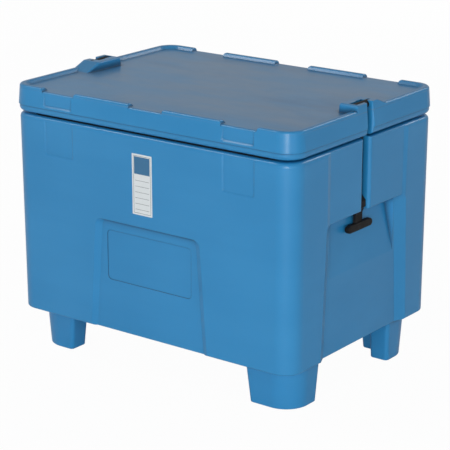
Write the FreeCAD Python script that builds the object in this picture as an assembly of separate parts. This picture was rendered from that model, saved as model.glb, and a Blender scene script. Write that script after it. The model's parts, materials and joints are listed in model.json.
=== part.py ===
import FreeCAD
import Part
import math
import os

# An insulated shipping bin in millimetres, +Z up, origin on the floor under its centre.
# X runs along the long side, Y along the short side, and the rubber latches are at both X ends.

V = FreeCAD.Vector

# Bin body
BIN_LENGTH = 1067.0
BIN_WIDTH = 778.0
BIN_BOTTOM_Z = 137.0
BIN_HEIGHT = 641.0
BIN_DRAFT = 2.6
CORNER_RADIUS = 60.0
BIN_TOP_ROUND = 14.0
BIN_BOTTOM_ROUND = 5.0
SKIN = 6.0
FOAM_GAP = 0.2

# Cavity, open at the top
WALL_THICKNESS = 90.0
FLOOR_THICKNESS = 88.0
CAVITY_DRAFT = 9.0
CAVITY_RADIUS = 42.0
CAVITY_FLOOR_ROUND = 28.0

# Legs, each an L of two arms round its corner, two of them longer along X than the other two
LEG_INSET_X = 29.0
LEG_INSET_Y = 56.0
LEG_SHORT_LENGTH = 153.0
LEG_LONG_LENGTH = 179.0
LEG_WIDTH = 144.0
LEG_ARM_X = 75.0
LEG_ARM_Y = 79.0
LEG_OUTER_RADIUS = 78.0
LEG_INNER_RADIUS = 13.0
LEG_OUTER_TAPER = 0.05
LEG_END_TAPER_X = 0.11
LEG_END_TAPER_Y = 0.07
LEG_ARM_TAPER = 0.02
LEG_BOTTOM_ROUND = 4.0
LEG_ROOT = 40.0

# Tapered recess in each long side, with a shallow frame in it
SIDE_RECESS_TOP_Z = 494.0
SIDE_RECESS_TOP_HALF = 203.0
SIDE_RECESS_BOTTOM_HALF = 232.0
SIDE_RECESS_DEPTH = 12.0
SIDE_RECESS_SLOPE = 24.0
SIDE_RECESS_CORNER = 26.0
FRAME_HALF = 163.0
FRAME_BOTTOM_Z = 300.0
FRAME_TOP_Z = 460.0
FRAME_DEPTH = 1.6
FRAME_CORNER = 14.0

# Shallow panels at the top of each long side, under the outer gaps of the lid's rim
PANEL_WIDTH = 117.0
PANEL_BOTTOM_Z = 659.0
PANEL_DEPTH = 3.0
PANEL_SLOPE = 5.0
PANEL_CORNER = 5.0
LID_PANEL_ABOVE_BAND = 5.0
LID_PANEL_DEPTH = 4.5

# End face: a shallow full-height recess, and below the upper block a deeper one
END_RECESS_TOP_HALF = 220.0
END_RECESS_BOTTOM_HALF = 244.0
END_RECESS_SHIFT = 8.0
END_RECESS_DEPTH = 4.0
END_RECESS_SLOPE = 20.0
BLOCK_BOTTOM_Z = 555.0
BLOCK_EDGE_ROUND = 5.0
PANEL_FLOOR_DEPTH = 20.0
PANEL_FLOOR_SLOPE = 44.0
PANEL_FLOOR_CORNER = 26.0
POCKET_DEPTH = 50.0
POCKET_CREASE_Z = 380.0
POCKET_TOP_HALF = 166.0
POCKET_CREASE_HALF = 176.0
POCKET_ROUND = 12.0

# Latch slot down the middle of each end
SLOT_FLOOR_FROM_END = 45.0
BIN_SLOT_WIDTH = 35.0
BIN_SLOT_SHIFT = 1.0
BIN_SLOT_NEAR_ROUND = 11.0
LID_SLOT_WIDTH = 31.0
LID_SLOT_SHIFT = 7.5
LID_SLOT_NEAR_ROUND = 3.0
SLOT_EDGE_ROUND = 11.0

# Lid
SEAL_GAP = 6.5
LID_OVERHANG = 3.6
LID_BAND_HEIGHT = 22.0
LID_BAND_INSET = 2.8
LID_EDGE_ROUND = 13.0
LID_HEIGHT = 74.5
LID_DRAFT = 5.0
LID_TOP_ROUND = 8.0
LID_TOP_ROOT = 20.0
RIM_HEIGHT = 10.0
RIM_WIDTH = 25.0
RIM_SLOPE = 9.0
RIM_ROUND = 7.0
RIM_GAP_WIDTH = 134.0
RIM_GAP_PITCH = 343.0
RIM_GAP_SLOPE = 3.0
RIM_GAP_ROUND = 6.0
PLUG_DEPTH = 30.0
PLUG_CLEARANCE = 4.0
PLUG_TAPER = 3.0

# Raised pads that hold the top bar of each latch
PAD_HEIGHT = 26.0
PAD_INBOARD = 72.0
PAD_COVERED_SIDE = 50.0
PAD_OPEN_SIDE = 58.0
PAD_END_SLOPE = 5.0
PAD_COVERED_SLOPE = 110.0
PAD_ROUND = 9.0

# Rubber latch: top bar, strap, hooking shoulders and pull bar in one moulding
BAR_FROM_END = 27.0
BAR_DEPTH_IN_PAD = 11.5
BAR_RADIUS = 11.5
BAR_LENGTH = 84.0
BAR_CLEARANCE = 0.6
TROUGH_EXTRA = 4.0
TROUGH_MOUTH_EXTRA = 1.5
STRAP_THICKNESS = 12.0
STRAP_WIDTH = 14.0
LUG_HEIGHT = 50.0
LUG_WIDTH = 30.0
LUG_THICKNESS = 22.0
LATCH_BACK = 8.5
SHOULDER_CLEARANCE = 0.5
SHOULDER_WIDTH = 60.0
SHOULDER_HEIGHT = 12.0
NECK_WIDTH = 36.0
NECK_THICKNESS = 9.0
PULL_LENGTH = 130.0
PULL_HEIGHT = 24.0
PULL_THICKNESS = 20.0
PULL_CENTRE_Z = 503.0

# Gasket under the lid
GASKET_WIDTH = 18.0
GASKET_FROM_SLOT = 5.0
GASKET_FROM_SIDE = 15.0
GASKET_SEAT = 2.0

# Filling plugs of the foam spaces
PLUG_HOLE_RADIUS = 14.0
FILL_PLUG_CLEARANCE = 0.15
FILL_FLANGE_RADIUS = 20.0
FILL_FLANGE_HEIGHT = 2.5
FILL_PITCH = 400.0

# Plain label on the front
LABEL_CENTRE_X = -12.5
LABEL_WIDTH = 76.0
LABEL_BOTTOM_Z = 533.0
LABEL_HEIGHT = 189.0
LABEL_THICKNESS = 0.4

# Places worked out from the sizes above
half_length = BIN_LENGTH / 2
half_width = BIN_WIDTH / 2
bin_top = BIN_BOTTOM_Z + BIN_HEIGHT
lid_bottom = bin_top + SEAL_GAP
lid_flat = lid_bottom + LID_HEIGHT
rim_top = lid_flat + RIM_HEIGHT
lid_half_length = half_length + LID_OVERHANG
lid_half_width = half_width + LID_OVERHANG
cavity_floor = BIN_BOTTOM_Z + FLOOR_THICKNESS
cavity_half_length = half_length - WALL_THICKNESS
cavity_half_width = half_width - WALL_THICKNESS
slot_floor_x = half_length - SLOT_FLOOR_FROM_END
pad_top = lid_flat + PAD_HEIGHT
bar_x = half_length - BAR_FROM_END
bar_z = pad_top - BAR_DEPTH_IN_PAD
ABOVE = 60.0
OUTSIDE = 80.0


def rounded_rectangle(half_x, half_y, radius, z):
    """A closed outline in a level plane with four round corners."""
    diagonal = radius * math.sqrt(0.5)
    edges = []
    corners = ((1, -1), (1, 1), (-1, 1), (-1, -1))
    starts = []
    ends = []
    for sign_x, sign_y in corners:
        centre = V(sign_x * (half_x - radius), sign_y * (half_y - radius), z)
        along_x = V(centre.x, sign_y * half_y, z)
        along_y = V(sign_x * half_x, centre.y, z)
        middle = V(centre.x + sign_x * diagonal, centre.y + sign_y * diagonal, z)
        first, last = (along_x, along_y) if sign_x * sign_y < 0 else (along_y, along_x)
        starts.append(first)
        ends.append(last)
        edges.append(Part.Arc(first, middle, last).toShape())
    joined = []
    for index, edge in enumerate(edges):
        joined.append(edge)
        joined.append(Part.LineSegment(ends[index], starts[(index + 1) % 4]).toShape())
    return Part.Wire(joined)


def drafted_block(half_x, half_y, radius, bottom, top, draft):
    """A block with round upright corners whose sides lean out by draft from bottom to top."""
    low = rounded_rectangle(half_x - draft, half_y - draft, radius, bottom)
    high = rounded_rectangle(half_x, half_y, radius, top)
    return Part.makeLoft([low, high], True, True)


def edges_at(shape, z):
    """All edges of a shape that lie at one height."""
    found = []
    for edge in shape.Edges:
        box = edge.BoundBox
        if abs(box.ZMin - z) < 1e-4 and abs(box.ZMax - z) < 1e-4:
            found.append(edge)
    return found


def outline(points):
    """A closed outline through points, each with the radius of its corner."""
    count = len(points)
    pieces = []
    for index, (point, radius) in enumerate(points):
        before = points[index - 1][0]
        after = points[(index + 1) % count][0]
        to_before = (before - point).normalize()
        to_after = (after - point).normalize()
        if radius <= 0:
            pieces.append((point, None, point))
            continue
        half_angle = to_before.getAngle(to_after) / 2
        setback = radius / math.tan(half_angle)
        bisector = (to_before + to_after).normalize()
        middle = point + bisector * (radius / math.sin(half_angle) - radius)
        pieces.append((point + to_before * setback, middle, point + to_after * setback))
    edges = []
    for index, (first, middle, last) in enumerate(pieces):
        if middle is not None:
            edges.append(Part.Arc(first, middle, last).toShape())
        following = pieces[(index + 1) % count][0]
        if (following - last).Length > 1e-6:
            edges.append(Part.LineSegment(last, following).toShape())
    return Part.Wire(edges)


def extrude(points, along):
    """A solid swept from a closed outline along a straight line."""
    return Part.Face(outline(points)).extrude(along)


def both_ends(shape):
    """A shape at the +X end and the same shape turned half round to the -X end."""
    turned = shape.copy()
    turned.rotate(V(0, 0, 0), V(0, 0, 1), 180)
    return [shape, turned]


def recess_outline(x, y, half_top, half_bottom, top, bottom, corner, across_x):
    """The outline of a recess that widens downwards, in the plane of a side or an end."""
    corners = ((-half_bottom, bottom), (half_bottom, bottom), (half_top, top), (-half_top, top))
    if across_x:
        points = [V(place, y, z) for place, z in corners]
    else:
        points = [V(x, place, z) for place, z in corners]
    radii = (0, 0, corner, corner)
    return outline(list(zip(points, radii)))


def side_recess(grow):
    """The cutter of the tapered recess in the front side, with its leaning side walls."""
    bottom = BIN_BOTTOM_Z - grow
    low_half = SIDE_RECESS_BOTTOM_HALF + grow
    top_half = SIDE_RECESS_TOP_HALF + grow
    top = SIDE_RECESS_TOP_Z + grow
    face = -half_width
    floor = face + SIDE_RECESS_DEPTH + grow
    lean = SIDE_RECESS_SLOPE / SIDE_RECESS_DEPTH
    out = 4.0
    widen = lean * (out + grow)
    corner = SIDE_RECESS_CORNER
    outer = recess_outline(0, face - out, top_half + widen, low_half + widen, top, bottom, corner, True)
    inner = recess_outline(0, floor, top_half - SIDE_RECESS_SLOPE, low_half - SIDE_RECESS_SLOPE, top, bottom,
                           corner, True)
    return Part.makeLoft([outer, inner], True, True)


def frame_recess():
    """The cutter of the shallow frame on the floor of the side recess."""
    floor = -half_width + SIDE_RECESS_DEPTH
    points = [V(-FRAME_HALF, floor - 2, FRAME_BOTTOM_Z), V(FRAME_HALF, floor - 2, FRAME_BOTTOM_Z),
              V(FRAME_HALF, floor - 2, FRAME_TOP_Z), V(-FRAME_HALF, floor - 2, FRAME_TOP_Z)]
    return extrude([(point, FRAME_CORNER) for point in points], V(0, 2 + FRAME_DEPTH, 0))


def side_panel(centre_x, face, bottom, top, depth):
    """The cutter of one shallow panel that is open at its top, with leaning side walls."""
    out = 6.0
    lean = PANEL_SLOPE / depth
    profiles = []
    for y, add in ((face - out, lean * out), (face + depth, -PANEL_SLOPE)):
        half = PANEL_WIDTH / 2 + add
        low = bottom - add
        points = [(V(centre_x - half, y, low), PANEL_CORNER), (V(centre_x + half, y, low), PANEL_CORNER),
                  (V(centre_x + half, y, top), 0), (V(centre_x - half, y, top), 0)]
        profiles.append(outline(points))
    return Part.makeLoft(profiles, True, True)


def end_recess(grow):
    """The cutter of the shallow recess over the whole height of the +X end."""
    bottom = BIN_BOTTOM_Z - grow
    out = 4.0
    lean = END_RECESS_SLOPE / END_RECESS_DEPTH
    widen = lean * (out + grow)
    profiles = []
    for x, add in ((half_length + out, widen), (half_length - END_RECESS_DEPTH - grow, -END_RECESS_SLOPE)):
        top_half = END_RECESS_TOP_HALF + grow + add
        low_half = END_RECESS_BOTTOM_HALF + grow + add
        top = bin_top + ABOVE
        corners = ((-low_half, bottom), (low_half, bottom), (top_half, BLOCK_BOTTOM_Z), (top_half, top),
                   (-top_half, top), (-top_half, BLOCK_BOTTOM_Z))
        profiles.append(outline([(V(x, y, z), 0) for y, z in corners]))
    return Part.makeLoft(profiles, True, True)


def lower_panel(grow):
    """The cutter below the upper block of the +X end, with leaning side walls and round top corners."""
    face = half_length - END_RECESS_DEPTH
    top = BLOCK_BOTTOM_Z + grow
    bottom = BIN_BOTTOM_Z - grow
    reach = half_length + OUTSIDE
    floor = half_length - PANEL_FLOOR_DEPTH - grow
    half = END_RECESS_BOTTOM_HALF + OUTSIDE
    radius = BLOCK_EDGE_ROUND
    rise = math.sqrt(0.5) * radius
    start = V(face - radius, -half, top)
    middle = V(face - radius + rise, -half, top + radius - rise)
    finish = V(face, -half, top + radius)
    corners = [finish, V(reach, -half, top + radius), V(reach, -half, bottom), V(floor, -half, bottom),
               V(floor, -half, top), start]
    edges = [Part.LineSegment(a, b).toShape() for a, b in zip(corners, corners[1:])]
    edges.append(Part.Arc(start, middle, finish).toShape())
    side_view = Part.Face(Part.Wire(edges)).extrude(V(0, 2 * half, 0))
    lean = PANEL_FLOOR_SLOPE / PANEL_FLOOR_DEPTH
    profiles = []
    for x in (reach, floor):
        add = lean * (x - half_length + grow) + grow
        top_half = END_RECESS_TOP_HALF + add
        low_half = END_RECESS_BOTTOM_HALF + add
        profile = recess_outline(x, 0, top_half, low_half, top + radius, bottom, PANEL_FLOOR_CORNER, False)
        profiles.append(profile)
    return side_view.common(Part.makeLoft(profiles, True, True))


def hand_pocket(grow):
    """The cutter of the wedge-shaped grip pocket, deepest under the block and running out at its crease."""
    top = BLOCK_BOTTOM_Z + grow
    deep = half_length - POCKET_DEPTH - grow
    lap = 2.0
    shallow = half_length - PANEL_FLOOR_DEPTH + lap
    share = (lap + grow) / (POCKET_DEPTH - PANEL_FLOOR_DEPTH)
    crease = POCKET_CREASE_Z - share * (BLOCK_BOTTOM_Z - POCKET_CREASE_Z)
    wide = POCKET_CREASE_HALF + share * (POCKET_CREASE_HALF - POCKET_TOP_HALF) + grow
    narrow = POCKET_TOP_HALF + grow
    corners = ((-wide, crease), (wide, crease), (wide, top), (-wide, top))
    outer = [V(shallow, y, z) for y, z in corners]
    back_left = V(deep, -narrow, top)
    back_right = V(deep, narrow, top)
    sloped = [outer[0], back_left, back_right, outer[1]]
    level = [outer[3], outer[2], back_right, back_left]
    loops = [outer, sloped, level, [outer[0], outer[3], back_left], [outer[1], back_right, outer[2]]]
    faces = [Part.Face(Part.makePolygon(loop + [loop[0]])) for loop in loops]
    wedge = Part.Solid(Part.Shell(faces))
    if wedge.Volume < 0:
        wedge.reverse()
    inner = []
    for edge in wedge.Edges:
        if edge.BoundBox.XMax < deep + 0.1:
            inner.append(edge)
    return wedge.makeFillet(POCKET_ROUND, inner)


def latch_slot(width, shift, near_round, face_x, bottom, top, grow):
    """The cutter of the upright slot for a latch strap, with round edges at its mouth."""
    half = width / 2 + grow
    floor = slot_floor_x - grow
    far_round = SLOT_EDGE_ROUND
    far_mouth = half + far_round
    near_mouth = -half - near_round
    far_rise = far_round * math.sqrt(0.5)
    near_rise = near_round * math.sqrt(0.5)
    reach = face_x + OUTSIDE
    places = ((floor, -half), (floor, half), (face_x - far_round, half), (face_x, far_mouth),
              (reach, far_mouth), (reach, near_mouth), (face_x, near_mouth), (face_x - near_round, -half))
    points = [V(x, y, bottom) for x, y in places]
    turns = {2: V(face_x - far_round + far_rise, far_mouth - far_rise, bottom),
             6: V(face_x - near_round + near_rise, near_mouth + near_rise, bottom)}
    edges = []
    for index, start in enumerate(points):
        finish = points[(index + 1) % len(points)]
        if index in turns:
            edges.append(Part.Arc(start, turns[index], finish).toShape())
        else:
            edges.append(Part.LineSegment(start, finish).toShape())
    slot = Part.Face(Part.Wire(edges)).extrude(V(0, 0, top - bottom))
    slot.translate(V(0, shift, 0))
    return slot


def cavity(grow):
    """The load space, drafted and with a round foot."""
    block = drafted_block(cavity_half_length + grow, cavity_half_width + grow, CAVITY_RADIUS + grow,
                          cavity_floor - grow, bin_top + SEAL_GAP, CAVITY_DRAFT)
    return block.makeFillet(CAVITY_FLOOR_ROUND + grow, edges_at(block, cavity_floor - grow))


def leg(length, grow):
    """One moulded leg at +X +Y: an L in plan, slightly tapered, with a large outer corner."""
    sections = []
    for z in (BIN_BOTTOM_Z + LEG_ROOT, grow):
        below = BIN_BOTTOM_Z - z
        outer_x = half_length - LEG_INSET_X - LEG_OUTER_TAPER * below - grow
        outer_y = half_width - LEG_INSET_Y - LEG_OUTER_TAPER * below - grow
        end_x = half_length - LEG_INSET_X - length + LEG_END_TAPER_X * below + grow
        end_y = half_width - LEG_INSET_Y - LEG_WIDTH + LEG_END_TAPER_Y * below + grow
        arm_x = half_length - LEG_INSET_X - LEG_ARM_X + LEG_ARM_TAPER * below + grow
        arm_y = half_width - LEG_INSET_Y - LEG_ARM_Y + LEG_ARM_TAPER * below + grow
        big = LEG_OUTER_RADIUS - grow
        small = LEG_INNER_RADIUS
        places = ((end_x, arm_y, small), (arm_x, arm_y, small), (arm_x, end_y, small),
                  (outer_x, end_y, small), (outer_x, outer_y, big), (end_x, outer_y, small))
        sections.append(outline([(V(x, y, z), radius) for x, y, radius in places]))
    shape = Part.makeLoft(sections, True, True)
    if grow == 0:
        shape = shape.makeFillet(LEG_BOTTOM_ROUND, edges_at(shape, grow))
    return shape


def four_legs(grow):
    """Two short legs and two long ones, alike at opposite corners."""
    across = leg(LEG_LONG_LENGTH, grow).mirror(V(0, 0, 0), V(0, 1, 0))
    return both_ends(leg(LEG_SHORT_LENGTH, grow)) + both_ends(across)


def bin_form(inset):
    """The bin's outside, or the same form drawn inwards by inset for the foam space."""
    top = bin_top - inset
    bottom = BIN_BOTTOM_Z + inset
    body = drafted_block(half_length - inset, half_width - inset, CORNER_RADIUS - inset,
                         bottom, top, BIN_DRAFT)
    if inset == 0:
        body = body.makeFillet(BIN_TOP_ROUND, edges_at(body, top))
        body = body.makeFillet(BIN_BOTTOM_ROUND, edges_at(body, bottom))
    body = body.fuse(four_legs(inset))
    cutters = []
    front = side_recess(inset)
    cutters += both_ends(front)
    end = end_recess(inset).fuse([lower_panel(inset), hand_pocket(inset)])
    end.translate(V(0, END_RECESS_SHIFT, 0))
    mouth_x = half_length - END_RECESS_DEPTH
    slot = latch_slot(BIN_SLOT_WIDTH, BIN_SLOT_SHIFT, BIN_SLOT_NEAR_ROUND, mouth_x, BLOCK_BOTTOM_Z - 1,
                      bin_top + ABOVE, inset)
    cutters += both_ends(end)
    cutters += both_ends(slot)
    return body.cut(cutters).removeSplitter()


def fill_positions():
    """Where the filling holes are, along the middle of the underside."""
    return (-FILL_PITCH / 2, FILL_PITCH / 2)


def fill_hole(x, z, length):
    """A filling hole through one skin, going up from z."""
    return Part.makeCylinder(PLUG_HOLE_RADIUS, length, V(x, 0, z))


def make_bin_shell():
    """The double-walled body with its legs, as one hollow moulding."""
    shell = bin_form(0)
    panels = []
    for sign in (-1, 1):
        place = sign * RIM_GAP_PITCH
        panels.append(side_panel(place, -half_width, PANEL_BOTTOM_Z, bin_top + ABOVE, PANEL_DEPTH))
    panels.append(frame_recess())
    cutters = []
    for panel in panels:
        cutters += both_ends(panel)
    cutters.append(cavity(0))
    shell = shell.cut(cutters)
    space = bin_form(SKIN).cut(cavity(SKIN))
    shell = shell.cut(space)
    holes = [fill_hole(x, BIN_BOTTOM_Z - 1, SKIN + 2) for x in fill_positions()]
    return shell.cut(holes)


def make_bin_insulation():
    """The rigid foam between the two skins of the bin."""
    inset = SKIN + FOAM_GAP
    foam = bin_form(inset).cut(cavity(inset))
    return foam


def plug_set(z, downward_flange):
    """Push-in plugs that close the filling holes, with their flanges below z."""
    plugs = []
    for x in fill_positions():
        barrel = Part.makeCylinder(PLUG_HOLE_RADIUS - FILL_PLUG_CLEARANCE, SKIN, V(x, 0, z))
        flange = Part.makeCylinder(FILL_FLANGE_RADIUS, FILL_FLANGE_HEIGHT, V(x, 0, z - FILL_FLANGE_HEIGHT))
        plug = barrel.fuse(flange).removeSplitter()
        low = z - FILL_FLANGE_HEIGHT if downward_flange else z
        plug = plug.makeFillet(FILL_FLANGE_HEIGHT / 3, edges_at(plug, low))
        plugs.append(plug)
    return Part.makeCompound(plugs)


def lid_block(inset, bottom, top):
    """The lid's drafted outside between two heights, leaning in towards its top."""
    low = lid_bottom + LID_BAND_HEIGHT
    high = rim_top
    slope = LID_DRAFT / (high - low)
    sections = []
    for z in (bottom, top):
        lean = slope * (z - low) + inset
        radius = CORNER_RADIUS + LID_BAND_INSET - lean
        sections.append(rounded_rectangle(lid_half_length - lean, lid_half_width - lean, radius, z))
    return Part.makeLoft(sections, True, True)


def lid_plug(grow):
    """The part of the lid that reaches down into the load space."""
    reach = PLUG_CLEARANCE - grow
    return drafted_block(cavity_half_length - reach, cavity_half_width - reach, CAVITY_RADIUS - reach,
                         lid_bottom - PLUG_DEPTH - grow, lid_bottom + LID_BAND_HEIGHT / 2, PLUG_TAPER)


def rim_gap(centre_x):
    """The cutter of one gap in the rim along a long side, with leaning round ends."""
    bottom = lid_flat - LID_TOP_ROOT
    low = RIM_GAP_WIDTH / 2 - RIM_GAP_SLOPE
    high = RIM_GAP_WIDTH / 2
    slope = RIM_GAP_SLOPE / RIM_HEIGHT
    far = high + slope * ABOVE
    down = low - slope * LID_TOP_ROOT
    y = -lid_half_width - OUTSIDE
    points = [(V(centre_x - down, y, bottom), 0), (V(centre_x + down, y, bottom), 0),
              (V(centre_x + high, y, rim_top), RIM_GAP_ROUND), (V(centre_x + far, y, rim_top + 1), 0),
              (V(centre_x + far, y, rim_top + ABOVE), 0), (V(centre_x - far, y, rim_top + ABOVE), 0),
              (V(centre_x - far, y, rim_top + 1), 0), (V(centre_x - high, y, rim_top), RIM_GAP_ROUND)]
    return extrude(points, V(0, 2 * (lid_half_width + OUTSIDE), 0))


def make_rim():
    """The raised rim round the lid's top, with three gaps in each long side."""
    ring = lid_block(0, lid_flat - LID_TOP_ROOT, rim_top)
    ring = ring.makeFillet(LID_TOP_ROUND, edges_at(ring, rim_top))
    inner_x = lid_half_length - LID_DRAFT - RIM_WIDTH
    inner_y = lid_half_width - LID_DRAFT - RIM_WIDTH
    radius = CORNER_RADIUS - RIM_WIDTH
    below = LID_TOP_ROOT + 1
    tray = drafted_block(inner_x + RIM_SLOPE, inner_y + RIM_SLOPE, radius + RIM_SLOPE, lid_flat - below,
                         rim_top + 0.5, RIM_SLOPE * (below + RIM_HEIGHT) / RIM_HEIGHT)
    ring = ring.cut(tray)
    inner_edges = []
    for edge in edges_at(ring, rim_top):
        box = edge.BoundBox
        if max(abs(box.XMin), abs(box.XMax)) < inner_x + 2 * RIM_SLOPE:
            if max(abs(box.YMin), abs(box.YMax)) < inner_y + 2 * RIM_SLOPE:
                inner_edges.append(edge)
    ring = ring.makeFillet(RIM_ROUND, inner_edges)
    return ring.cut([rim_gap(place * RIM_GAP_PITCH) for place in (-1, 0, 1)])


def latch_pad():
    """The raised pad at the middle of the +X end, round the latch's top bar."""
    base = lid_flat - LID_TOP_ROOT
    inboard = lid_half_length - PAD_INBOARD
    places = ((PAD_COVERED_SIDE + PAD_COVERED_SLOPE, base, 0), (PAD_COVERED_SIDE, pad_top, PAD_ROUND),
              (-PAD_OPEN_SIDE, pad_top, PAD_ROUND), (-PAD_OPEN_SIDE - PAD_END_SLOPE, base, 0))
    points = [(V(inboard, y, z), radius) for y, z, radius in places]
    bar = extrude(points, V(PAD_INBOARD + OUTSIDE, 0, 0))
    inner_edges = []
    for edge in bar.Edges:
        box = edge.BoundBox
        if box.XMax < inboard + 1e-3 and box.ZMin > base + 1e-3:
            inner_edges.append(edge)
    bar = bar.makeFillet(PAD_ROUND * 0.6, inner_edges)
    block = lid_block(0, base, pad_top + 1)
    return bar.common(block)


def bar_trough():
    """The cutter of the seat for the top bar: open from the slot to its -Y end, covered beyond the slot."""
    radius = BAR_RADIUS + BAR_CLEARANCE
    low_y = -BAR_LENGTH / 2 - TROUGH_EXTRA
    high_y = BAR_LENGTH / 2 + BAR_CLEARANCE
    seat = Part.makeCylinder(radius, high_y - low_y, V(bar_x, low_y, bar_z), V(0, 1, 0))
    half_mouth = radius + TROUGH_MOUTH_EXTRA
    length = LID_SLOT_WIDTH / 2 + LID_SLOT_SHIFT - low_y
    mouth = Part.makeBox(2 * half_mouth, length, ABOVE, V(bar_x - half_mouth, low_y, bar_z))
    return seat.fuse(mouth)


def lid_form(inset):
    """The lid's outside without its rim, or the same form drawn inwards for the foam space."""
    bottom = lid_bottom + inset
    band_top = lid_bottom + LID_BAND_HEIGHT
    band_x = lid_half_length - LID_BAND_INSET - inset
    band_y = lid_half_width - LID_BAND_INSET - inset
    band = drafted_block(band_x, band_y, CORNER_RADIUS - inset, bottom, band_top + 2, 0)
    upper = lid_block(inset, band_top, lid_flat - inset)
    if inset == 0:
        band = band.makeFillet(LID_EDGE_ROUND, edges_at(band, bottom))
        upper = upper.makeFillet(LID_TOP_ROUND, edges_at(upper, lid_flat))
    body = upper.fuse([band, lid_plug(-inset)])
    return body


def lid_slots(grow):
    """Both strap slots through the lid's ends."""
    low = lid_bottom - PLUG_DEPTH
    slot = latch_slot(LID_SLOT_WIDTH, LID_SLOT_SHIFT, LID_SLOT_NEAR_ROUND, lid_half_length, low,
                      pad_top + ABOVE, grow)
    return both_ends(slot)


def make_lid_shell():
    """The double-walled lid with its rim and latch pads."""
    body = lid_form(0)
    body = body.fuse([make_rim()] + both_ends(latch_pad()))
    body = body.removeSplitter()
    cutters = lid_slots(0) + both_ends(bar_trough())
    panel_bottom = lid_bottom + LID_BAND_HEIGHT + LID_PANEL_ABOVE_BAND
    for sign in (-1, 1):
        place = sign * RIM_GAP_PITCH
        panel = side_panel(place, -lid_half_width, panel_bottom, rim_top + ABOVE, LID_PANEL_DEPTH)
        cutters += both_ends(panel)
    cutters.append(gasket_ring(lid_bottom + GASKET_SEAT))
    body = body.cut(cutters)
    space = lid_space(SKIN)
    body = body.cut(space)
    under = lid_bottom - PLUG_DEPTH
    return body.cut([fill_hole(x, under - 1, SKIN + 2) for x in fill_positions()])


def lid_space(inset):
    """The foam space of the lid, kept clear of the strap slots and the bar seats."""
    space = lid_form(inset)
    cutters = lid_slots(inset)
    low_y = -BAR_LENGTH / 2 - TROUGH_EXTRA - inset
    high_y = BAR_LENGTH / 2 + inset
    seat_x = bar_x - BAR_RADIUS - BAR_CLEARANCE - inset
    solid_end = Part.makeBox(OUTSIDE, high_y - low_y, 2 * LID_HEIGHT, V(seat_x, low_y, lid_bottom))
    return space.cut(cutters + both_ends(solid_end))


def gasket_ring(top):
    """The ring of the gasket from the bin's top face up to a height."""
    outer_x = half_length - SLOT_FLOOR_FROM_END - GASKET_FROM_SLOT
    outer_y = half_width - GASKET_FROM_SIDE
    inner_x = outer_x - GASKET_WIDTH
    inner_y = outer_y - GASKET_WIDTH
    ring = drafted_block(outer_x, outer_y, CORNER_RADIUS, bin_top, top, 0)
    hole = drafted_block(inner_x, inner_y, CORNER_RADIUS - GASKET_WIDTH, bin_top - 1, top + 1, 0)
    return ring.cut(hole)


def make_latch():
    """One rubber latch at the +X end, hanging straight down from its top bar."""
    bar = Part.makeCylinder(BAR_RADIUS, BAR_LENGTH, V(bar_x, -BAR_LENGTH / 2, bar_z), V(0, 1, 0))
    ends = [edge for edge in bar.Edges if edge.BoundBox.YMax - edge.BoundBox.YMin < 1e-3]
    bar = bar.makeFillet(BAR_RADIUS * 0.5, ends)
    shoulder_z = BLOCK_BOTTOM_Z - SHOULDER_CLEARANCE
    strap = Part.makeBox(STRAP_THICKNESS, STRAP_WIDTH, bar_z - shoulder_z,
                         V(bar_x - STRAP_THICKNESS / 2, -STRAP_WIDTH / 2, shoulder_z))
    upright = [edge for edge in strap.Edges if edge.BoundBox.ZMax - edge.BoundBox.ZMin > 1]
    strap = strap.makeFillet(3.0, upright)
    lug_top = shoulder_z + LUG_HEIGHT
    back = bar_x - LATCH_BACK
    lug_points = [(V(back, -LUG_WIDTH / 2, shoulder_z - 3), 0),
                  (V(back + NECK_THICKNESS, -LUG_WIDTH / 2, shoulder_z - 3), 0),
                  (V(back + LUG_THICKNESS, -LUG_WIDTH / 2, shoulder_z + 8), 3),
                  (V(back + LUG_THICKNESS, -LUG_WIDTH / 2, lug_top - LUG_THICKNESS), 4),
                  (V(back + 2, -LUG_WIDTH / 2, lug_top), 2),
                  (V(back, -LUG_WIDTH / 2, lug_top), 0)]
    lug = extrude(lug_points, V(0, LUG_WIDTH, 0))
    pull_top = PULL_CENTRE_Z + PULL_HEIGHT / 2
    neck_points = [(V(back, -SHOULDER_WIDTH / 2, shoulder_z), 3),
                   (V(back, -NECK_WIDTH / 2, shoulder_z - SHOULDER_HEIGHT), 6),
                   (V(back, -NECK_WIDTH / 2, pull_top - 6), 0),
                   (V(back, NECK_WIDTH / 2, pull_top - 6), 0),
                   (V(back, NECK_WIDTH / 2, shoulder_z - SHOULDER_HEIGHT), 6),
                   (V(back, SHOULDER_WIDTH / 2, shoulder_z), 3)]
    neck = extrude(neck_points, V(NECK_THICKNESS, 0, 0))
    low = PULL_CENTRE_Z - PULL_HEIGHT / 2
    pull_back = bar_x - PULL_THICKNESS / 2
    end_round = PULL_HEIGHT * 0.49
    half_pull = PULL_LENGTH / 2
    pull_corners = ((-half_pull, low), (half_pull, low), (half_pull, pull_top), (-half_pull, pull_top))
    pull = extrude([(V(pull_back, y, z), end_round) for y, z in pull_corners], V(PULL_THICKNESS, 0, 0))
    rims = [edge for edge in pull.Edges if edge.BoundBox.XMax - edge.BoundBox.XMin < 1e-3]
    pull = pull.makeFillet(PULL_THICKNESS * 0.3, rims)
    return bar.fuse([strap, lug, neck, pull]).removeSplitter()


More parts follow.
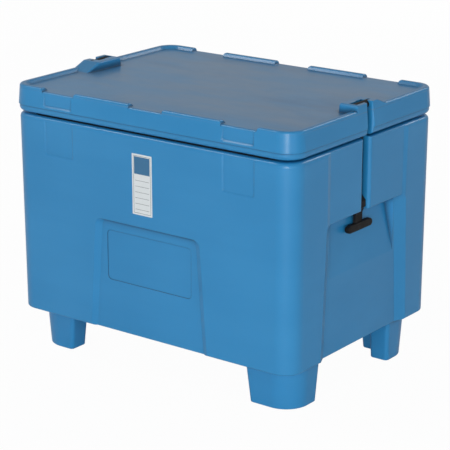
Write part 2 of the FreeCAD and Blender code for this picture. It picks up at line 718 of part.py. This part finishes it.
def make_label():
    """A plain adhesive label on the front side."""
    points = [V(LABEL_CENTRE_X + sx * LABEL_WIDTH / 2, 0, z) for sx, z in
              ((-1, LABEL_BOTTOM_Z), (1, LABEL_BOTTOM_Z), (1, LABEL_BOTTOM_Z + LABEL_HEIGHT),
               (-1, LABEL_BOTTOM_Z + LABEL_HEIGHT))]
    sheet = extrude([(point, 2.0) for point in points], V(0, -LABEL_THICKNESS, 0))
    tilt = math.degrees(math.atan2(BIN_DRAFT, BIN_HEIGHT))
    sheet.rotate(V(0, 0, bin_top), V(1, 0, 0), tilt)
    sheet.translate(V(0, -half_width, 0))
    return sheet


def save(shape, name):
    """Write one node as STEP and print its size."""
    shape.exportStep("parts/" + name + ".step")
    box = shape.optimalBoundingBox(False)
    print("%-16s solids %d valid %s volume %.0f cm3  x %.1f..%.1f  y %.1f..%.1f  z %.1f..%.1f" % (
        name, len(shape.Solids), shape.isValid(), shape.Volume / 1000,
        box.XMin, box.XMax, box.YMin, box.YMax, box.ZMin, box.ZMax))


os.makedirs("parts", exist_ok=True)
save(make_bin_shell(), "bin_shell")
save(make_bin_insulation(), "bin_insulation")
save(plug_set(BIN_BOTTOM_Z, True), "bin_fill_plugs")
save(make_lid_shell(), "lid_shell")
save(lid_space(SKIN + FOAM_GAP), "lid_insulation")
save(plug_set(lid_bottom - PLUG_DEPTH, True), "lid_fill_plugs")
save(gasket_ring(lid_bottom + GASKET_SEAT), "lid_gasket")
right, left = both_ends(make_latch())
save(right, "latch_strap_right")
save(left, "latch_strap_left")
save(make_label(), "label")
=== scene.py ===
import bpy
import json
import math
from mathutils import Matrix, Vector

# Insulated bin: moulded blue body and lid, rubber latches, plain label.
# All sizes are in metres, +Z up, the latches are at both X ends.

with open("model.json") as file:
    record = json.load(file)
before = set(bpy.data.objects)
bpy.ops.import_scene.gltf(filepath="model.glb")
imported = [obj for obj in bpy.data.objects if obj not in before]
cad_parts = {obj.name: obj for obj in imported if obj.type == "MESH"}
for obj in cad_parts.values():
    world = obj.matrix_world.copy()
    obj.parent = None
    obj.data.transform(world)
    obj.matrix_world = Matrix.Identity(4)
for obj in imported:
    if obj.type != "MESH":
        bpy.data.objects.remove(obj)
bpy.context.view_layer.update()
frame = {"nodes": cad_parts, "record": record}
nodes = frame["nodes"]
print("loaded the frame with", len(nodes), "nodes")


# Shader maths as plain expressions: each value wraps one output socket

class Value:
    def __init__(self, tree, socket):
        self.tree = tree
        self.socket = socket

    def node(self, kind, settings=None, **inputs):
        made = self.tree.nodes.new(kind)
        for name, setting in (settings or {}).items():
            setattr(made, name, setting)
        for name, given in inputs.items():
            place = int(name[1:]) if name[0] == "_" else name.replace("_", " ")
            target = made.inputs[place]
            if isinstance(given, Value):
                self.tree.links.new(given.socket, target)
            else:
                target.default_value = given
        return made

    def maths(self, operation, other=0.0, swap=False):
        first, second = (other, self) if swap else (self, other)
        made = self.node("ShaderNodeMath", {"operation": operation}, _0=first, _1=second)
        return Value(self.tree, made.outputs[0])

    def __add__(self, other): return self.maths("ADD", other)
    def __radd__(self, other): return self.maths("ADD", other, True)
    def __sub__(self, other): return self.maths("SUBTRACT", other)
    def __rsub__(self, other): return self.maths("SUBTRACT", other, True)
    def __mul__(self, other): return self.maths("MULTIPLY", other)
    def __rmul__(self, other): return self.maths("MULTIPLY", other, True)
    def __gt__(self, other): return self.maths("GREATER_THAN", other)
    def __lt__(self, other): return self.maths("LESS_THAN", other)
    def __abs__(self): return self.maths("ABSOLUTE")
    def atLeast(self, other): return self.maths("MAXIMUM", other)

    def ramp(self, low, high, toLow=0.0, toHigh=1.0):
        made = self.node("ShaderNodeMapRange", {"interpolation_type": "SMOOTHSTEP"},
                         _0=self, _1=low, _2=high, _3=toLow, _4=toHigh)
        return Value(self.tree, made.outputs[0])

    def mix(self, first, second):
        made = self.node("ShaderNodeMix", {"data_type": "RGBA"}, Factor=self, _6=first, _7=second)
        return Value(self.tree, made.outputs[2])


class Finish(Value):
    def __init__(self, name):
        self.material = bpy.data.materials.new(name)
        self.material.use_nodes = True
        tree = self.material.node_tree
        tree.nodes.clear()
        self.tree = tree
        self.shader = tree.nodes.new("ShaderNodeBsdfPrincipled")
        self.output = tree.nodes.new("ShaderNodeOutputMaterial")
        tree.links.new(self.shader.outputs[0], self.output.inputs[0])
        self.place = tree.nodes.new("ShaderNodeTexCoord").outputs["Object"]

    def noise(self, scale, detail=2.0, stretch=(1, 1, 1), roughness=0.5):
        turned = self.node("ShaderNodeMapping", _0=Value(self.tree, self.place), _3=stretch)
        made = self.node("ShaderNodeTexNoise", _0=Value(self.tree, turned.outputs[0]),
                         Scale=scale, Detail=detail, Roughness=roughness)
        return Value(self.tree, made.outputs["Fac"])

    def axes(self):
        split = self.node("ShaderNodeSeparateXYZ", _0=Value(self.tree, self.place))
        return [Value(self.tree, socket) for socket in split.outputs]

    def set(self, **inputs):
        for name, given in inputs.items():
            target = self.shader.inputs[name.replace("_", " ")]
            if isinstance(given, Value):
                self.tree.links.new(given.socket, target)
            else:
                target.default_value = given

    def bump(self, height, distance, strength=1.0, normal=None):
        made = self.node("ShaderNodeBump", Strength=strength, Distance=distance, Height=height)
        if normal is not None:
            self.tree.links.new(normal.socket, made.inputs["Normal"])
        return Value(self.tree, made.outputs[0])

    def softEdges(self, radius, samples=6):
        made = self.node("ShaderNodeBevel", {"samples": samples}, Radius=radius)
        return Value(self.tree, made.outputs[0])

    # painted shade: ambient occlusion marks creases, recesses and the parts under edges for darkening
    def creases(self, distance, samples=12):
        settings = {"samples": samples, "only_local": True}
        made = self.node("ShaderNodeAmbientOcclusion", settings, Distance=distance)
        return 1.0 - Value(self.tree, made.outputs["AO"])


def colour(red, green, blue):
    return (red, green, blue, 1.0)


# Blue moulded polyethylene

moulding = {
    "paler": colour(0.028, 0.246, 0.518),
    "deeper": colour(0.021, 0.224, 0.483),
    "scuff": colour(0.20, 0.40, 0.60),
    # painted reflection: a pale sheen colour and a darker painted shade, both only on the lid's flat top
    "paintedSheen": colour(0.150, 0.250, 0.380),
    "paintedTopShade": colour(0.012, 0.130, 0.310),
    "sheenAbove": 0.8575,  # just under the lid's flat top
    "topShadeShare": 0.55,
    "broadSheenShare": 0.50,
    "fineSheenShare": 0.20,
    "scuffShare": 0.16,
    "sheenBelow": 0.8608,
    # painted shade colour for creases and recesses, with how far and how deep it reaches
    "crease": colour(0.005, 0.055, 0.130),
    "creaseReach": 0.026,
    "creaseDepth": 0.85,
    "edgeRadius": 0.0030,
    "roughness": 0.30,
    "skinGloss": 0.30,
    "skinRoughness": 0.13,
    "wave": 0.0009,
    "grain": 0.00005,
}


def makeMoulding():
    m = Finish("mouldedBlue")
    cloud = m.noise(2.2, 2.0)
    streak = m.noise(7.0, 4.0, (0.35, 1.0, 2.2))
    tone = (cloud * 0.7 + streak * 0.3).ramp(0.36, 0.64)
    base = tone.mix(moulding["deeper"], moulding["paler"])
    scratch = m.noise(60.0, 6.0, (0.15, 1.0, 1.0), 0.7)
    patch = m.noise(7.0, 2.0).ramp(0.52, 0.70)
    scuffed = scratch.ramp(0.66, 0.80) * patch * moulding["scuffShare"]
    base = scuffed.mix(base, moulding["scuff"])
    z = m.axes()[2]
    # painted reflection: broad and fine patches of pale sheen on the lid's top
    broadSheen = m.noise(4.0, 4.0, (0.55, 1.3, 1.0)).ramp(0.40, 0.68)
    fineSheen = m.noise(26.0, 5.0, (0.25, 1.2, 1.0), 0.6).ramp(0.35, 0.75)
    # painted shade and painted reflection, only in the band of the lid's flat top: darker swirls, then
    # pale sheen
    onTop = (z > moulding["sheenAbove"]) * (z < moulding["sheenBelow"])
    topShadeSwirl = m.noise(3.2, 4.0, (0.5, 1.5, 1.0), 0.6).ramp(0.46, 0.66)
    base = (onTop * topShadeSwirl * moulding["topShadeShare"]).mix(base, moulding["paintedTopShade"])
    paintedSheen = onTop * (broadSheen * moulding["broadSheenShare"] + fineSheen * moulding["fineSheenShare"])
    base = paintedSheen.mix(base, moulding["paintedSheen"])
    # painted shade: creases, recesses and the undersides of edges are darkened towards the crease shade
    # colour
    creaseShade = m.creases(moulding["creaseReach"]).ramp(0.03, 0.38, 0.0, moulding["creaseDepth"])
    base = creaseShade.mix(base, moulding["crease"])
    rough = moulding["roughness"] + m.noise(22.0, 3.0) * 0.05 + scuffed * 0.6
    rounded = m.softEdges(moulding["edgeRadius"])
    waves = m.bump(m.noise(7.0, 1.0), moulding["wave"], 1.0, rounded)
    grain = m.bump(m.noise(420.0, 2.0), moulding["grain"], 1.0, waves)
    m.set(Base_Color=base, Roughness=rough, Normal=grain, IOR=1.5,
          Coat_Weight=moulding["skinGloss"], Coat_Roughness=moulding["skinRoughness"])
    return m.material


# Black rubber of the latches and the gasket

latchRubber = {
    "colour": colour(0.010, 0.009, 0.0085),
    "worn": colour(0.020, 0.018, 0.017),
    "roughness": 0.50,
    "gloss": 0.24,
}


def makeRubber(name, values):
    m = Finish(name)
    dust = m.noise(35.0, 5.0).ramp(0.45, 0.75)
    base = dust.mix(values["colour"], values["worn"])
    rough = values["roughness"] + m.noise(80.0, 3.0) * 0.18
    rounded = m.softEdges(0.0012)
    m.set(Base_Color=base, Roughness=rough, Specular_IOR_Level=values["gloss"],
          Normal=m.bump(m.noise(900.0, 3.0), 0.00008, 1.0, rounded))
    return m.material


gasketRubber = {
    "colour": colour(0.006, 0.007, 0.009),
    "worn": colour(0.012, 0.013, 0.016),
    "roughness": 0.75,
    "gloss": 0.15,
}


# Closed-in foam and the plain plugs of the underside

foam = {"colour": colour(0.72, 0.62, 0.38), "deeper": colour(0.58, 0.48, 0.27), "cell": 900.0}


def makeFoam():
    m = Finish("rigidFoam")
    cells = m.node("ShaderNodeTexVoronoi", _0=Value(m.tree, m.place), Scale=foam["cell"])
    cell = Value(m.tree, cells.outputs["Distance"])
    base = m.noise(30.0, 4.0).mix(foam["deeper"], foam["colour"])
    m.set(Base_Color=base, Roughness=0.9, Normal=m.bump(cell, 0.0006))
    return m.material


plugPlastic = {"colour": colour(0.022, 0.075, 0.15), "paler": colour(0.03, 0.095, 0.19), "roughness": 0.42}


def makePlug():
    m = Finish("plugPlastic")
    base = m.noise(60.0, 3.0).mix(plugPlastic["colour"], plugPlastic["paler"])
    rough = plugPlastic["roughness"] + m.noise(140.0, 2.0) * 0.1
    grain = m.bump(m.noise(600.0), 0.00006, 1.0, m.softEdges(0.0008))
    m.set(Base_Color=base, Roughness=rough, Normal=grain)
    return m.material


# Plain adhesive label: a blank tinted field over blank write-on lines

label = {
    "paper": colour(0.74, 0.77, 0.78),
    "paperShade": colour(0.66, 0.70, 0.71),
    "tint": colour(0.045, 0.16, 0.30),
    "rule": colour(0.10, 0.12, 0.15),
    "centreX": -0.0125,
    "halfWidth": 0.038,
    "low": 0.533,
    "high": 0.722,
    "border": 0.0052,
    "fieldInset": 0.003,
    "ruleInset": 0.006,
    "lineWidth": 0.0011,
    "fieldLow": 0.660,
    "rules": (0.640, 0.622, 0.604, 0.586, 0.568, 0.550),
}


def makeLabel():
    m = Finish("labelPaper")
    x, y, z = m.axes()
    across = abs(x - label["centreX"])
    inner = label["halfWidth"] - label["border"]
    line = label["lineWidth"]
    fieldTop = label["high"] - label["border"] - label["fieldInset"]
    field = (across < inner - label["fieldInset"]) * (z > label["fieldLow"]) * (z < fieldTop)
    middle = (label["low"] + label["high"]) / 2
    tall = (label["high"] - label["low"]) / 2 - label["border"]
    upright = abs(z - middle)
    inside = (across < inner) * (upright < tall)
    core = (across < inner - line) * (upright < tall - line)
    rules = inside - core
    for height in label["rules"]:
        rules = rules.atLeast((abs(z - height) < line / 2) * (across < inner - label["ruleInset"]))
    paper = m.noise(40.0, 4.0).mix(label["paper"], label["paperShade"])
    base = field.mix(rules.mix(paper, label["rule"]), label["tint"])
    m.set(Base_Color=base, Roughness=0.38 + m.noise(120.0, 2.0) * 0.12,
          Normal=m.bump(m.noise(18.0, 2.0), 0.0003))
    return m.material


finishes = {
    "blue_moulding": makeMoulding(),
    "latch_rubber": makeRubber("latchRubber", latchRubber),
    "gasket_rubber": makeRubber("gasketRubber", gasketRubber),
    "foam": makeFoam(),
    "plug_plastic": makePlug(),
    "label_paper": makeLabel(),
}

for subpart in frame["record"]["subparts"]:
    piece = nodes[subpart["node"]]
    piece.data.materials.clear()
    piece.data.materials.append(finishes[subpart["material_slot"]])
print("finished the CAD pieces")


# Floor and surroundings

floor = {
    "size": 60.0,
    "drop": 0.0005,
    "colour": colour(0.80, 0.81, 0.82),
    "deeper": colour(0.78, 0.79, 0.80),
    "cameraGlow": 0.97,
}

bpy.ops.object.select_all(action="DESELECT")
bpy.ops.mesh.primitive_plane_add(size=floor["size"], location=(0, 0, -floor["drop"]))
floorPlane = bpy.context.object
floorPlane.name = "studioFloor"
floorFinish = Finish("studioFloor")
floorTone = floorFinish.noise(3.0, 2.0).mix(floor["colour"], floor["deeper"])
floorFinish.set(Base_Color=floorTone, Roughness=0.9, Specular_IOR_Level=0.0)
rays = floorFinish.node("ShaderNodeLightPath")
seen = Value(floorFinish.tree, rays.outputs["Is Camera Ray"])
glow = floorFinish.node("ShaderNodeEmission", Color=colour(1, 1, 1), Strength=1.0)
share = floorFinish.node("ShaderNodeMixShader", _0=seen * floor["cameraGlow"])
floorFinish.tree.links.new(floorFinish.shader.outputs[0], share.inputs[1])
floorFinish.tree.links.new(glow.outputs[0], share.inputs[2])
under = Value(floorFinish.tree, floorFinish.node("ShaderNodeNewGeometry").outputs["Backfacing"])
clear = floorFinish.node("ShaderNodeBsdfTransparent")
oneSided = floorFinish.node("ShaderNodeMixShader", _0=seen * under)  # clear when looked at from below
floorFinish.tree.links.new(share.outputs[0], oneSided.inputs[1])
floorFinish.tree.links.new(clear.outputs[0], oneSided.inputs[2])
floorFinish.tree.links.new(oneSided.outputs[0], floorFinish.output.inputs[0])
floorPlane.data.materials.append(floorFinish.material)

surroundings = {"diffuse": 0.15, "glossy": 0.47, "colour": colour(0.96, 0.98, 1.0)}

world = bpy.data.worlds.new("studioWorld")
bpy.context.scene.world = world
world.use_nodes = True
world.node_tree.nodes.clear()
air = Value(world.node_tree, None)
path = air.node("ShaderNodeLightPath")
camera = Value(world.node_tree, path.outputs["Is Camera Ray"])
glossy = Value(world.node_tree, path.outputs["Is Glossy Ray"])
through = Value(world.node_tree, path.outputs["Is Transmission Ray"])
mirror = glossy.atLeast(through)
level = surroundings["diffuse"] + mirror * (surroundings["glossy"] - surroundings["diffuse"])
level = level.atLeast(camera)
sky = air.node("ShaderNodeBackground", Color=surroundings["colour"], Strength=level)
worldOutput = air.node("ShaderNodeOutputWorld")
world.node_tree.links.new(sky.outputs[0], worldOutput.inputs[0])


# Lamps: name, azimuth and elevation seen from the bin, distance, size, power

lamps = (
    ("keyLamp", 22.0, 15.0, 9.0, 5.0, 268.0),
    ("shineLamp", 33.0, 7.0, 9.0, 2.8, 195.0),
    ("sideLamp", 70.0, 12.0, 9.0, 3.6, 143.0),
    ("leftLamp", -55.0, 18.0, 9.0, 3.9, 75.0),
    ("backLamp", 195.0, 12.0, 9.0, 5.0, 235.0),
    ("backSideLamp", 255.0, 12.0, 9.0, 4.0, 150.0),
    ("edgeLampLeft", -63.0, 50.0, 8.0, 1.8, 62.0),
    ("edgeLampBack", 159.0, 35.0, 8.0, 1.8, 50.0),
)
aim = Vector((0.0, 0.0, 0.45))  # the middle of the bin
glossyBelow = 3.0  # wider lamps stay out of reflections, so they leave no glare on the lid
for name, azimuth, elevation, distance, size, power in lamps:
    a, e = math.radians(azimuth), math.radians(elevation)
    back = Vector((math.sin(a) * math.cos(e), -math.cos(a) * math.cos(e), math.sin(e)))
    turn = (-back).to_track_quat("-Z", "Y").to_euler()
    bpy.ops.object.light_add(type="AREA", location=aim + back * distance, rotation=turn)
    lamp = bpy.context.object
    lamp.name = name
    lamp.data.shape = "DISK"
    lamp.data.size = size
    lamp.data.energy = power
    lamp.visible_glossy = size < glossyBelow
print("set the floor, the surroundings and", len(lamps), "lamps")


# Camera at the photograph's place

shot = {"place": (3.2541, -4.3244, 2.0972), "tilt": 72.68, "azimuth": 36.92, "lens": 142.6}
bpy.ops.object.camera_add(location=shot["place"],
                          rotation=(math.radians(shot["tilt"]), 0, math.radians(shot["azimuth"])))
viewer = bpy.context.object
viewer.name = "photoCamera"
viewer.data.lens = shot["lens"]
viewer.data.sensor_width = 36.0
viewer.data.clip_end = 100.0
bpy.context.scene.camera = viewer
bpy.context.scene.view_settings.view_transform = "Standard"
print("placed the camera")
